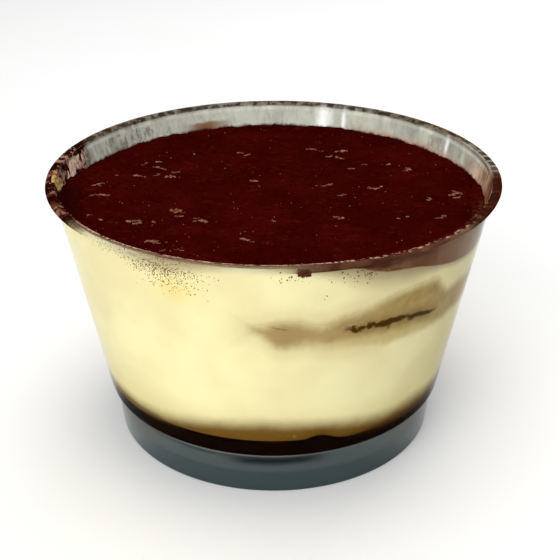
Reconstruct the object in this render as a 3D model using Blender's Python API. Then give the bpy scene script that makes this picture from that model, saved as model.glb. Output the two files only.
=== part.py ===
"""A tiramisu in a squat clear plastic cup, modelled at its real size.

The cup is one moulded shell: a flared wall with a rolled lip, a flat floor and a hollow foot ring.
It holds a coffee-soaked base, a paler sponge on it, mascarpone cream up to the cup's shoulder, a
ladyfinger that is pressed against the wall inside the cream, and a dusting of cocoa on top.
The origin is the centre of the foot, +Z is up, and the side with the ladyfinger faces -Y and +X.
Sizes are in millimetres; azimuths are in degrees from -Y towards +X, as seen from above.
"""

import math

import bmesh
import bpy

MM = 0.001
GAP = 0.3  # clearance between neighbouring solids

# Cup
HEIGHT = 57.3
RIM_RADIUS = 47.5
WALL_THICKNESS = 0.72
FLOOR_TOP = 10.45
FLOOR_UNDERSIDE = 9.75
WALL_RADIUS_AT_FLOOR = 37.1  # outside of the wall, level with the floor's top
WALL_RADIUS_AT_RIM = 46.2  # outside of the wall, level with the rim
BASE_CORNER_RADIUS = 1.2
INNER_CORNER_RADIUS = 1.0
SKIRT_TOP_RADIUS = 36.0
FOOT_RADIUS = 35.1
FOOT_LAND = 0.9  # width of the flat ring that the cup stands on
FOOT_EDGE_RADIUS = 0.3
LIP_HEIGHT = 1.1
LIP_NECK_DROP = 1.9  # how far below the rim the lip's underside runs back into the wall
SEGMENTS = 64  # around the cup and the food

# Food
COFFEE_TOP = 13.9
SPONGE_TOP = 15.5
SPONGE_MOUND = 3.3
CREAM_LEVEL = 50.3
CREAM_SMEAR_HEIGHT = 5.2  # how far the cream is drawn up the wall on the near side
CREAM_DIP = 2.2  # how far it sinks at the right
SMEAR_WIDTH = 5.0
COCOA_THICKNESS = 0.9
RING_DISTANCES = (0.0, 1.3, 2.6, 4.0, 6.0, 11.0, 20.0, 31.0)  # in from the wall

# Ladyfinger
FINGER_FROM = -6.0  # azimuths of its ends
FINGER_TO = 86.0
FINGER_INNER_FACE = 26.0  # distance of its straight inner face from the cup's axis
FINGER_STEPS = 23
FINGER_EDGE_STEPS = 6

WALL_SLOPE = (WALL_RADIUS_AT_RIM - WALL_RADIUS_AT_FLOOR) / (HEIGHT - FLOOR_TOP)


def clear_scene():
    for obj in list(bpy.data.objects):
        bpy.data.objects.remove(obj)


def smoothstep(value, start, end):
    t = min(max((value - start) / (end - start), 0.0), 1.0)
    return t * t * (3.0 - 2.0 * t)


def bump(value, centre, half_width):
    """1 at the centre, falling smoothly to 0 at half_width on either side."""
    return 1.0 - smoothstep(abs(value - centre), 0.0, half_width)


def arc(centre_r, centre_z, radius, start, end, steps):
    """Points of an arc in the (r, z) plane, between two angles in degrees from +r towards +z."""
    points = []
    for i in range(steps + 1):
        angle = math.radians(start + (end - start) * i / steps)
        points.append((centre_r + radius * math.cos(angle), centre_z + radius * math.sin(angle)))
    return points


def wall_outside(z):
    return WALL_RADIUS_AT_FLOOR + (z - FLOOR_TOP) * WALL_SLOPE


def wall_inside(z):
    return wall_outside(z) - WALL_THICKNESS


def food_radius(z):
    """Outer radius of the food at height z, clear of the wall and of the cup's inner corner."""
    radius = wall_inside(z) - GAP
    corner_centre = FLOOR_TOP + INNER_CORNER_RADIUS
    if z < corner_centre:
        reach = INNER_CORNER_RADIUS - GAP
        drop = min(corner_centre - z, reach)
        radius -= reach - math.sqrt(reach**2 - drop**2)
    return radius


def material(name, color, roughness, transmission=0.0):
    mat = bpy.data.materials.new(name)
    mat.use_nodes = True
    shader = mat.node_tree.nodes["Principled BSDF"]
    shader.inputs["Base Color"].default_value = (*color, 1.0)
    shader.inputs["Roughness"].default_value = roughness
    shader.inputs["Metallic"].default_value = 0.0
    shader.inputs["Transmission Weight"].default_value = transmission
    mat.diffuse_color = (*color, 1.0)
    return mat


def add_object(name, bm, mat):
    """Turns a mesh in millimetres into an object in metres, with its faces pointing out."""
    bmesh.ops.scale(bm, vec=(MM, MM, MM), verts=bm.verts)
    bmesh.ops.recalc_face_normals(bm, faces=bm.faces)
    mesh = bpy.data.meshes.new(name)
    bm.to_mesh(mesh)
    bm.free()
    mesh.materials.append(mat)
    mesh.shade_smooth()
    mesh.set_sharp_from_angle(angle=math.radians(35))
    obj = bpy.data.objects.new(name, mesh)
    bpy.context.collection.objects.link(obj)
    return obj


def add_ring(bm, radius_at, z_at, segments):
    """A closed ring of vertices; radius_at and z_at give its radius and height at an azimuth."""
    ring = []
    for i in range(segments):
        azimuth = -180.0 + 360.0 * i / segments
        angle = math.radians(azimuth)
        radius = radius_at(azimuth)
        ring.append(bm.verts.new((radius * math.sin(angle), -radius * math.cos(angle), z_at(azimuth))))
    return ring


def skin_rings(bm, lower, upper):
    count = len(lower)
    for i in range(count):
        j = (i + 1) % count
        bm.faces.new((lower[i], lower[j], upper[j], upper[i]))


def skin_fan(bm, centre, ring):
    count = len(ring)
    for i in range(count):
        bm.faces.new((centre, ring[i], ring[(i + 1) % count]))


def lathe(profile, segments):
    """Turns an (r, z) profile that starts and ends on the axis into a closed shell."""
    bm = bmesh.new()
    first = bm.verts.new((0.0, 0.0, profile[0][1]))
    last = bm.verts.new((0.0, 0.0, profile[-1][1]))
    rings = []
    for radius, z in profile[1:-1]:
        rings.append(add_ring(bm, lambda _, r=radius: r, lambda _, h=z: h, segments))
    skin_fan(bm, first, rings[0])
    for lower, upper in zip(rings, rings[1:]):
        skin_rings(bm, lower, upper)
    skin_fan(bm, last, rings[-1])
    return bm


def food_layer(underside, topside, corner_steps=0):
    """A disc of food that fills the cup between two surfaces.

    Each surface is a function of the azimuth and of the distance in from the wall. With
    corner_steps the lower edge follows the cup's rounded inner corner.
    """
    bm = bmesh.new()
    edges = []
    for surface in (underside, topside):
        rings = []
        for distance in reversed(RING_DISTANCES):

            def height(azimuth, s=surface, d=distance):
                return s(azimuth, d)

            def radius(azimuth, s=surface, d=distance):
                edge = food_radius(s(azimuth, 0.0))
                return edge * (1.0 - d / food_radius(CREAM_LEVEL))

            rings.append(add_ring(bm, radius, height, SEGMENTS))
        centre = bm.verts.new((0.0, 0.0, surface(0.0, food_radius(CREAM_LEVEL))))
        skin_fan(bm, centre, rings[0])
        for inner, outer in zip(rings, rings[1:]):
            skin_rings(bm, inner, outer)
        edges.append(rings[-1])
    lower, upper = edges
    for i in range(corner_steps):
        angle = math.radians(90.0 * (i + 1) / corner_steps)
        reach = INNER_CORNER_RADIUS - GAP
        z = FLOOR_TOP + INNER_CORNER_RADIUS - reach * math.cos(angle)
        ring = add_ring(bm, lambda _, h=z: food_radius(h), lambda _, h=z: h, SEGMENTS)
        skin_rings(bm, lower, ring)
        lower = ring
    skin_rings(bm, lower, upper)
    return bm


def cup_profile():
    """The shell's outline, from the middle of the floor's underside out, up and back down inside."""
    land_inner = FOOT_RADIUS - FOOT_LAND
    skirt_inner = SKIRT_TOP_RADIUS - WALL_THICKNESS
    base_z = FLOOR_UNDERSIDE + BASE_CORNER_RADIUS
    wall_angle = -math.degrees(math.atan(WALL_SLOPE))
    tangent_z = base_z + BASE_CORNER_RADIUS * math.sin(math.radians(wall_angle))
    base_r = wall_outside(tangent_z) - BASE_CORNER_RADIUS * math.cos(math.radians(wall_angle))
    inner_r = wall_inside(FLOOR_TOP + INNER_CORNER_RADIUS) - INNER_CORNER_RADIUS
    lip_radius = LIP_HEIGHT / 2
    lip_z = HEIGHT - lip_radius
    neck_z = HEIGHT - LIP_NECK_DROP

    profile = [(0.0, FLOOR_UNDERSIDE), (skirt_inner - 0.6, FLOOR_UNDERSIDE)]
    profile += arc(skirt_inner - 0.6, FLOOR_UNDERSIDE - 0.6, 0.6, 60, 0, 2)
    profile += [(land_inner, FOOT_EDGE_RADIUS), (land_inner + 0.1, 0.0)]
    profile += arc(FOOT_RADIUS - FOOT_EDGE_RADIUS, FOOT_EDGE_RADIUS, FOOT_EDGE_RADIUS, -90, 0, 2)
    profile += [(SKIRT_TOP_RADIUS, FLOOR_UNDERSIDE - 0.25)]
    profile += arc(base_r, base_z, BASE_CORNER_RADIUS, -72, wall_angle, 4)
    profile += [(wall_outside(neck_z), neck_z)]
    profile += arc(RIM_RADIUS - lip_radius, lip_z, lip_radius, -65, 90, 5)
    profile += arc(wall_inside(HEIGHT) + 0.6, HEIGHT - 0.6, 0.6, 90, 180, 2)
    profile += arc(inner_r, FLOOR_TOP + INNER_CORNER_RADIUS, INNER_CORNER_RADIUS, 0, -90, 3)
    profile += [(0.0, FLOOR_TOP)]
    return profile


def coffee_underside(azimuth, distance):
    return FLOOR_TOP + GAP


def coffee_topside(azimuth, distance):
    """The soaked layer: even on the left, thinner on the right, with a small lump between them."""
    near_wall = 1.0 - smoothstep(distance, 2.0, 9.0)
    lump = 1.0 * bump(azimuth, 14.0, 6.0)
    thin = 0.7 * smoothstep(azimuth, 17.0, 24.0) * (1.0 - smoothstep(azimuth, 60.0, 90.0))
    full = 0.4 * smoothstep(azimuth, -80.0, -55.0) * (1.0 - smoothstep(azimuth, 10.0, 20.0))
    return COFFEE_TOP + (full + lump - thin) * near_wall


def sponge_topside(azimuth, distance):
    """The unsoaked sponge: a low mound at the near side, a little thicker on its right than its left."""
    mound = SPONGE_MOUND * bump(azimuth, -3.0, 40.0)
    shelf = 0.6 * smoothstep(azimuth, 0.0, 20.0) * (1.0 - smoothstep(azimuth, 60.0, 100.0))
    near_wall = 1.0 - smoothstep(distance, 6.0, 20.0)
    return SPONGE_TOP + (mound + shelf) * near_wall


def cream_topside(azimuth, distance):
    """Level in the middle; drawn up the wall on the near side and a little low at the right."""
    smear = smoothstep(azimuth, -104.0, -62.0) * (1.0 - smoothstep(azimuth, 8.0, 52.0))
    dip = CREAM_DIP * bump(azimuth, 66.0, 30.0) * (1.0 - smoothstep(distance, 0.0, 9.0))
    rise = CREAM_SMEAR_HEIGHT * smear * (1.0 - smoothstep(distance, 0.0, SMEAR_WIDTH))
    angle = math.radians(azimuth)
    inside = smoothstep(distance, 0.0, 12.0) * (1.0 - smoothstep(distance, 30.0, 44.0))
    ripple = 0.22 * math.sin(3 * angle + 0.6) + 0.14 * math.sin(5 * angle + 2.1)
    return CREAM_LEVEL + rise - dip + ripple * inside


def cocoa_topside(azimuth, distance):
    return cream_topside(azimuth, distance) + GAP + COCOA_THICKNESS


def above(surface, gap=GAP):
    return lambda azimuth, distance: surface(azimuth, distance) + gap


def finger_span(azimuth):
    """Lowest and highest point of the ladyfinger against the wall: slim ends and a swollen middle."""
    low = 38.0 + 0.6 * bump(azimuth, 8.0, 5.0)
    low -= 2.3 * smoothstep(azimuth, 15.0, 28.0) + 0.5 * smoothstep(azimuth, 40.0, 50.0)
    high = 44.6 - 1.4 * bump(azimuth, 12.0, 6.0) + 3.2 * smoothstep(azimuth, 15.0, 36.0)
    high -= 4.8 * smoothstep(azimuth, 44.5, 53.0) + 1.8 * smoothstep(azimuth, 56.0, 80.0)
    middle = 43.2 - 5.0 * smoothstep(azimuth, 10.0, 80.0)
    end = 0.25 + 0.75 * smoothstep(azimuth, FINGER_FROM, FINGER_FROM + 7.5)
    end *= 0.4 + 0.6 * smoothstep(FINGER_TO - azimuth, 0.0, 6.0)
    return middle - (middle - low) * end, middle + (high - middle) * end


def ladyfinger_body(grow, reach_out):
    """The broken biscuit: its outer face follows the wall and its inner face is straight.

    grow swells it on every side and reach_out pushes its outer face through the wall, so that the
    same shape cuts its own bed in the cream.
    """
    bm = bmesh.new()
    middle_azimuth = (FINGER_FROM + FINGER_TO) / 2
    grow_angle = math.degrees(grow / food_radius(CREAM_LEVEL))
    sections = []
    for i in range(FINGER_STEPS + 1):
        inner_azimuth = FINGER_FROM + (FINGER_TO - FINGER_FROM) * i / FINGER_STEPS
        azimuth = inner_azimuth + grow_angle * (2.0 * i / FINGER_STEPS - 1.0)
        low, high = finger_span(inner_azimuth)
        low -= grow
        high += grow
        inner = FINGER_INNER_FACE / math.cos(math.radians(inner_azimuth - middle_azimuth)) - grow
        half = (high - low) / 2
        centre = (high + low) / 2
        rounding = min(half, 2.5)
        outline = [(food_radius(high) + reach_out, high)]
        for k in range(FINGER_EDGE_STEPS + 1):
            angle = math.pi * k / FINGER_EDGE_STEPS
            outline.append((inner + rounding * (1.0 - math.sin(angle)), centre + half * math.cos(angle)))
        outline.append((food_radius(low) + reach_out, low))
        turn = math.radians(azimuth)
        section = []
        for radius, z in outline:
            section.append(bm.verts.new((radius * math.sin(turn), -radius * math.cos(turn), z)))
        sections.append(section)
    for first, second in zip(sections, sections[1:]):
        skin_rings(bm, first, second)
    bm.faces.new(sections[0])
    bm.faces.new(sections[-1])
    return bm


def build():
    clear_scene()
    plastic = material("clear_plastic", (0.86, 0.9, 0.9), 0.05, transmission=0.95)
    coffee = material("coffee_soaked_sponge", (0.012, 0.005, 0.004), 0.4)
    sponge = material("plain_sponge", (0.3, 0.19, 0.07), 0.85)
    cream = material("mascarpone_cream", (0.93, 0.86, 0.55), 0.45)
    cocoa = material("cocoa_powder", (0.045, 0.008, 0.005), 0.95)

    add_object("cup", lathe(cup_profile(), SEGMENTS), plastic)
    add_object("coffee_base", food_layer(coffee_underside, coffee_topside, corner_steps=3), coffee)
    add_object("lower_sponge", food_layer(above(coffee_topside), sponge_topside), sponge)
    add_object("ladyfinger", ladyfinger_body(0.0, 0.0), sponge)
    cream_block = add_object("cream", food_layer(above(sponge_topside), cream_topside), cream)
    add_object("cocoa_top", food_layer(above(cream_topside), cocoa_topside), cocoa)

    bed = add_object("ladyfinger_bed", ladyfinger_body(GAP, 2.0), cream)
    bed.hide_render = True
    bed.display_type = "WIRE"
    cut = cream_block.modifiers.new("bed", "BOOLEAN")
    cut.operation = "DIFFERENCE"
    cut.solver = "EXACT"
    cut.object = bed


build()
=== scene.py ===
"""Looks of the tiramisu: clear cup, layered food, cocoa, dust and smears, around the CAD frame.

Shapes are worked out in millimetres, in the frame's axes. An azimuth is in degrees from -Y, the near
side, towards +X. Materials reuse the shapes' own formulas through the Field class.
"""

import math
import random

import bpy
import numpy as np
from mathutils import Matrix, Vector, noise


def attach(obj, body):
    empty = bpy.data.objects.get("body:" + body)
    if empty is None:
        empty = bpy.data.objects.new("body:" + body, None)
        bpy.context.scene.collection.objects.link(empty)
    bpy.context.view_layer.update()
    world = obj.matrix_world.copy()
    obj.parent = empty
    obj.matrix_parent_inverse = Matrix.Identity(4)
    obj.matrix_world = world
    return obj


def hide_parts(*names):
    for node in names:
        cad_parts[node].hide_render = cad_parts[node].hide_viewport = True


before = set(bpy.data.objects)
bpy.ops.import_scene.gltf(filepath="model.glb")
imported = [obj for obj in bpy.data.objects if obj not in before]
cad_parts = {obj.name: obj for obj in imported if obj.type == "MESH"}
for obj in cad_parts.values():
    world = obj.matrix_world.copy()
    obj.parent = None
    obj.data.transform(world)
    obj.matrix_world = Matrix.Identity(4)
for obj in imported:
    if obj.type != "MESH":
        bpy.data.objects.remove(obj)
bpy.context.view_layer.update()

MM = 0.001
SEED = 7

# Cup and food, as in the frame
GAP = 0.3
BITE = 0.5  # how far the food reaches into the cup's wall
FLOOR_BITE = 0.3
CREAM_LEVEL = 50.3
CREAM_SMEAR_HEIGHT = 5.2
CREAM_DIP = 2.2
SMEAR_WIDTH = 5.0
COFFEE_TOP = 13.9
SPONGE_TOP = 15.5
SPONGE_MOUND = 3.3
COCOA_THICKNESS = 1.2
COCOA_THINNEST = 0.3
FINGER_FROM = -6.0
FINGER_TO = 86.0
FINGER_INNER_FACE = 26.0
CUP_SEGMENTS = 192
FOOD_SEGMENTS = 240
COCOA_SEGMENTS = 480
LIP_BOTTOM = 56.2
LIP_INNER = 45.6
LIP_SLIMMING = 0.96
LIP_LOWERING = 0.86
FOOT_TOP = 10.0

# Camera: a close view from slightly above
CAMERA_DISTANCE = 249.7
CAMERA_ELEVATION = 27.3
CAMERA_ROLL = -0.24
AIM_HEIGHT = 28.6
LENS = 72.15
SENSOR = 36.0
SHIFT_X = 0.0107
SHIFT_Y = 0.0180


# ---------------------------------------------------------------- fields


class Field:
    """A number inside a node tree. Arithmetic on it adds Math nodes."""

    def __init__(self, tree, socket):
        self.tree = tree
        self.socket = socket

    def math(self, operation, *others):
        node = self.tree.nodes.new("ShaderNodeMath")
        node.operation = operation
        for slot, value in zip(node.inputs, (self, *others)):
            feed(slot, value)
        return Field(self.tree, node.outputs[0])

    def __add__(self, other):
        return self.math("ADD", other)

    def __sub__(self, other):
        return self.math("SUBTRACT", other)

    def __rsub__(self, other):
        return self.math("MULTIPLY", -1.0).math("ADD", other)

    def __mul__(self, other):
        return self.math("MULTIPLY", other)

    def __truediv__(self, other):
        return self.math("DIVIDE", other)

    def __abs__(self):
        return self.math("ABSOLUTE")

    __radd__ = __add__
    __rmul__ = __mul__


def feed(slot, value):
    """Links a Field or a socket to a node's input, or sets the input to a plain value."""
    if isinstance(value, Field):
        value = value.socket
    if isinstance(value, bpy.types.NodeSocket):
        slot.id_data.links.new(value, slot)
    else:
        slot.default_value = value


def smoothstep(value, start, end):
    if isinstance(value, Field):
        node = value.tree.nodes.new("ShaderNodeMapRange")
        node.interpolation_type = "SMOOTHSTEP"
        for slot, given in zip(node.inputs, (value, start, end, 0.0, 1.0)):
            feed(slot, given)
        return Field(value.tree, node.outputs[0])
    t = np.clip((value - start) / (end - start), 0.0, 1.0)
    return t * t * (3.0 - 2.0 * t)


def bump(value, centre, half_width):
    """1 at the centre, falling smoothly to 0 at half_width on either side."""
    return 1.0 - smoothstep(abs(value - centre), 0.0, half_width)


def lowest(a, b):
    return a.math("MINIMUM", b) if isinstance(a, Field) else np.minimum(a, b)


def highest(a, b):
    return a.math("MAXIMUM", b) if isinstance(a, Field) else np.maximum(a, b)


# ---------------------------------------------------------------- the cup's outline, from the frame


def read_cup_outline():
    """The CAD cup's outline as (radius, height), from the middle of its underside out, up and in."""
    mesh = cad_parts["cup"].data
    on_meridian = {}
    for vertex in mesh.vertices:
        x, y, z = (c / MM for c in vertex.co)
        if abs(x) < 0.01 and y > 0.0:
            on_meridian[vertex.index] = (round(y, 2), round(z, 2))
    neighbours = {}
    for edge in mesh.edges:
        a, b = (on_meridian.get(i) for i in edge.vertices)
        if a and b and a != b:
            neighbours.setdefault(a, set()).add(b)
            neighbours.setdefault(b, set()).add(a)
    ends = [p for p in neighbours if len(neighbours[p]) == 1]
    outline = [min(ends, key=lambda p: p[1])]
    while True:
        onward = [p for p in neighbours[outline[-1]] if p not in outline]
        if not onward:
            return [(0.0, outline[0][1]), *outline, (0.0, outline[-1][1])]
        outline.append(onward[0])


OUTLINE = read_cup_outline()
HEIGHT = max(z for _, z in OUTLINE)
RIM_RADIUS = max(r for r, _ in OUTLINE)
FLOOR_TOP = OUTLINE[-1][1]
LONGEST = sorted(zip(OUTLINE, OUTLINE[1:]), key=lambda s: -abs(s[1][1] - s[0][1]))[:2]
INNER_WALL = min(LONGEST, key=lambda s: (s[0][0] + s[1][0]) / 2)


def slim_lip(r, z):
    """Draws the lip in a little, which leaves room for the dust on it."""
    if z < LIP_BOTTOM:
        return r, z
    return LIP_INNER + (r - LIP_INNER) * LIP_SLIMMING, LIP_BOTTOM + (z - LIP_BOTTOM) * LIP_LOWERING


def wall_inside(z):
    (r0, z0), (r1, z1) = INNER_WALL
    return r0 + (z - z0) * (r1 - r0) / (z1 - z0)


# ---------------------------------------------------------------- surfaces of the food


def coffee_topside(azimuth, distance=0.0):
    near_wall = 1.0 - smoothstep(distance, 2.0, 9.0)
    lump = 1.0 * bump(azimuth, 14.0, 6.0)
    thin = 0.7 * smoothstep(azimuth, 17.0, 24.0) * (1.0 - smoothstep(azimuth, 60.0, 90.0))
    full = 0.4 * smoothstep(azimuth, -80.0, -55.0) * (1.0 - smoothstep(azimuth, 10.0, 20.0))
    return COFFEE_TOP + (full + lump - thin) * near_wall


def sponge_topside(azimuth, distance=0.0):
    mound = SPONGE_MOUND * bump(azimuth, -3.0, 40.0)
    shelf = 0.6 * smoothstep(azimuth, 0.0, 20.0) * (1.0 - smoothstep(azimuth, 60.0, 100.0))
    return SPONGE_TOP + (mound + shelf) * (1.0 - smoothstep(distance, 6.0, 20.0))


def cocoa_topside(azimuth, distance=0.0):
    smear = smear_around(azimuth)
    dip = CREAM_DIP * bump(azimuth, 66.0, 30.0) * (1.0 - smoothstep(distance, 0.0, 9.0))
    rise = CREAM_SMEAR_HEIGHT * smear * (1.0 - smoothstep(distance, 0.0, SMEAR_WIDTH))
    return CREAM_LEVEL + COCOA_THICKNESS + rise - dip


def smear_around(azimuth):
    """How high the cream is smeared up the wall: 1 at the front left, 0 at the back."""
    return smoothstep(azimuth, -104.0, -62.0) * (1.0 - smoothstep(azimuth, 8.0, 52.0))


def cream_topside(azimuth, distance=0.0):
    """The cream under the cocoa, which thins out where the cream is smeared up the wall."""
    thin = (COCOA_THICKNESS - COCOA_THINNEST) * smear_around(azimuth)
    thickness = COCOA_THICKNESS - thin * (1.0 - smoothstep(distance, 0.0, SMEAR_WIDTH))
    return cocoa_topside(azimuth, distance) - thickness


def finger_span(azimuth):
    """Lowest and highest point of the ladyfinger against the wall."""
    sag = 2.3 * smoothstep(azimuth, 15.0, 28.0) + 0.5 * smoothstep(azimuth, 40.0, 50.0)
    low = 38.0 + 0.6 * bump(azimuth, 8.0, 5.0) - sag
    fall = 4.8 * smoothstep(azimuth, 44.5, 53.0) + 1.8 * smoothstep(azimuth, 56.0, 80.0)
    high = 44.6 - 1.4 * bump(azimuth, 12.0, 6.0) + 3.2 * smoothstep(azimuth, 15.0, 36.0) - fall
    middle = 43.2 - 5.0 * smoothstep(azimuth, 10.0, 80.0)
    end = 0.25 + 0.75 * smoothstep(azimuth, FINGER_FROM, FINGER_FROM + 7.5)
    end = end * (0.4 + 0.6 * smoothstep(FINGER_TO - azimuth, 0.0, 6.0))
    return middle - (middle - low) * end, middle + (high - middle) * end


# ---------------------------------------------------------------- meshes


def on_circle(radius, azimuth, z):
    """Points at a radius and an azimuth in degrees; the arguments may be arrays."""
    angle = np.radians(azimuth)
    shape = np.broadcast_shapes(np.shape(radius), np.shape(angle), np.shape(z))
    x = np.broadcast_to(radius * np.sin(angle), shape)
    y = np.broadcast_to(-radius * np.cos(angle), shape)
    return np.stack([x, y, np.broadcast_to(z, shape)], axis=-1)


def azimuths(count):
    return -180.0 + 360.0 * np.arange(count) / count


def add_piece(name, points, faces, materials, replaced=()):
    """Makes a smooth mesh piece that rides on the cup; points are in millimetres."""
    mesh = bpy.data.meshes.new(name)
    mesh.from_pydata((np.asarray(points) * MM).tolist(), [], faces)
    mesh.shade_smooth()
    for mat in materials:
        mesh.materials.append(mat)
    piece = bpy.data.objects.new(name, mesh)
    bpy.context.collection.objects.link(piece)
    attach(piece, "root")
    if replaced:
        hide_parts(*replaced)
    mesh.set_sharp_from_angle(angle=math.radians(50))
    return piece


def turned_shell(rings, low_pole, high_pole):
    """Points and faces of a closed shell, from rings that run from the lower pole to the upper one."""
    count = len(rings[0])
    points = np.concatenate([*rings, [low_pole], [high_pole]])
    low, high = len(points) - 2, len(points) - 1
    last = (len(rings) - 1) * count
    faces = []
    for i in range(count):
        j = (i + 1) % count
        faces.append((low, j, i))
        faces.append((high, last + i, last + j))
        for k in range(0, last, count):
            faces.append((k + i, k + j, k + count + j, k + count + i))
    return points, faces


def add_food_layer(name, underside, topside, distances, side_steps, segments, mat, replaced, relief=None):
    """A disc of food between two surfaces, with its side just inside the cup's wall."""
    turn = azimuths(segments)
    full = wall_inside(CREAM_LEVEL)
    rings = []

    def surface_ring(surface, distance, lift=None):
        edge = wall_inside(surface(turn, 0.0)) + BITE
        radius = edge * (1.0 - distance / full)
        z = surface(turn, distance) + np.zeros_like(turn)
        ring = on_circle(radius, turn, z)
        if lift:
            ring[:, 2] += [lift(x, y, distance) for x, y, _ in ring]
        return ring

    for distance in reversed(distances):
        rings.append(surface_ring(underside, distance))
    low_z = underside(turn, 0.0) + np.zeros_like(turn)
    high_z = topside(turn, 0.0) + np.zeros_like(turn)
    if relief:
        edge = wall_inside(high_z) + BITE
        high_z = high_z + [relief(x, y, 0.0) for x, y, _ in on_circle(edge, turn, high_z)]
    for step in range(1, side_steps):
        z = low_z + (high_z - low_z) * step / side_steps
        rings.append(on_circle(wall_inside(z) + BITE, turn, z))
    for distance in distances:
        rings.append(surface_ring(topside, distance, relief))
    low_pole = (0.0, 0.0, float(underside(0.0, full)))
    high_pole = (0.0, 0.0, float(topside(0.0, full)) + (relief(0.0, 0.0, full) if relief else 0.0))
    points, faces = turned_shell(rings, low_pole, high_pole)
    return add_piece(name, points, faces, [mat], replaced)


ICO_T = (1.0 + math.sqrt(5.0)) / 2.0
ICO_POINTS = np.array(
    [(-1, ICO_T, 0), (1, ICO_T, 0), (-1, -ICO_T, 0), (1, -ICO_T, 0)]
    + [(0, -1, ICO_T), (0, 1, ICO_T), (0, -1, -ICO_T), (0, 1, -ICO_T)]
    + [(ICO_T, 0, -1), (ICO_T, 0, 1), (-ICO_T, 0, -1), (-ICO_T, 0, 1)]
) / math.hypot(1.0, ICO_T)
ICO_FACES = np.array(
    [(0, 11, 5), (0, 5, 1), (0, 1, 7), (0, 7, 10), (0, 10, 11), (1, 5, 9), (5, 11, 4)]
    + [(11, 10, 2), (10, 7, 6), (7, 1, 8), (3, 9, 4), (3, 4, 2), (3, 2, 6), (3, 6, 8)]
    + [(3, 8, 9), (4, 9, 5), (2, 4, 11), (6, 2, 10), (8, 6, 7), (9, 8, 1)]
)


def add_grains(name, places, mat):
    """Many small lumps in one mesh. Each place is (centre, size, flattening axis, flatness)."""
    rng = np.random.default_rng(SEED)
    points = []
    faces = []
    for centre, size, normal, flatness in places:
        lump = ICO_POINTS * rng.uniform(0.7, 1.25, (12, 1)) * rng.uniform(0.75, 1.3, 3) * size / 2
        normal = np.asarray(normal, float)
        lump = lump - np.outer(lump @ normal, normal) * (1.0 - flatness)
        faces.append(ICO_FACES + 12 * len(points))
        points.append(lump + centre)
    return add_piece(name, np.concatenate(points), np.concatenate(faces).tolist(), [mat])


# ---------------------------------------------------------------- materials


def linear(red, green, blue):
    """A colour given as 0 to 255 in sRGB, as the linear colour that a shader takes."""
    channels = []
    for c in (red / 255.0, green / 255.0, blue / 255.0):
        channels.append(c / 12.92 if c <= 0.04045 else ((c + 0.055) / 1.055) ** 2.4)
    return (*channels, 1.0)


class Finish:
    """A material with one Principled shader, and helpers for the textures that feed it."""

    def __init__(self, name, **settings):
        self.material = bpy.data.materials.new(name)
        self.material.use_nodes = True
        self.tree = self.material.node_tree
        self.shader = self.tree.nodes["Principled BSDF"]
        self.output = self.tree.nodes["Material Output"]
        for socket, value in settings.items():
            feed(self.shader.inputs[socket.replace("_", " ")], value)
        self.where = self.tree.nodes.new("ShaderNodeTexCoord").outputs["Object"]
        split = self.tree.nodes.new("ShaderNodeSeparateXYZ")
        feed(split.inputs[0], self.where)
        x, y, z = (Field(self.tree, out) for out in split.outputs)
        self.height = z * (1.0 / MM)
        self.azimuth = x.math("ARCTAN2", y * -1.0) * (180.0 / math.pi)
        self.radius = (x * x + y * y).math("SQRT") * (1.0 / MM)

    def set(self, socket, value):
        feed(self.shader.inputs[socket], value)

    def stretched(self, x, y, z):
        node = self.tree.nodes.new("ShaderNodeVectorMath")
        node.operation = "MULTIPLY"
        feed(node.inputs[0], self.where)
        node.inputs[1].default_value = (x, y, z)
        return node.outputs[0]

    def noise(self, size, detail=3.0, roughness=0.5, stretch=None, offset=0.0):
        """Noise from 0 to 1 whose lumps are about size millimetres across."""
        node = self.tree.nodes.new("ShaderNodeTexNoise")
        node.noise_dimensions = "4D"
        feed(node.inputs["Vector"], self.stretched(*stretch) if stretch else self.where)
        node.inputs["W"].default_value = offset
        node.inputs["Scale"].default_value = 1.0 / (size * MM)
        node.inputs["Detail"].default_value = detail
        node.inputs["Roughness"].default_value = roughness
        return Field(self.tree, node.outputs[0])

    def mix(self, factor, first, second):
        node = self.tree.nodes.new("ShaderNodeMix")
        node.data_type = "RGBA"
        feed(node.inputs[0], factor)
        feed(node.inputs[6], first)
        feed(node.inputs[7], second)
        return node.outputs[2]

    def blend(self, factor, first, second):
        """first where the factor is 0, second where it is 1."""
        return factor * second + (1.0 - factor) * first

    def bump(self, height, depth):
        """Feeds a height from 0 to 1 to the shader's normal, as relief of depth millimetres."""
        node = self.tree.nodes.new("ShaderNodeBump")
        node.inputs["Distance"].default_value = depth * MM
        feed(node.inputs["Height"], height)
        feed(self.shader.inputs["Normal"], node.outputs[0])

    def let_light_through(self, tint=(1.0, 1.0, 1.0, 1.0)):
        """Shadow rays pass straight through, so the clear wall lights what is behind it."""
        clear = self.tree.nodes.new("ShaderNodeBsdfTransparent")
        feed(clear.inputs[0], tint)
        path = self.tree.nodes.new("ShaderNodeLightPath")
        mix = self.tree.nodes.new("ShaderNodeMixShader")
        feed(mix.inputs[0], path.outputs["Is Shadow Ray"])
        feed(mix.inputs[1], self.shader.outputs[0])
        feed(mix.inputs[2], clear.outputs[0])
        feed(self.output.inputs["Surface"], mix.outputs[0])


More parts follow.
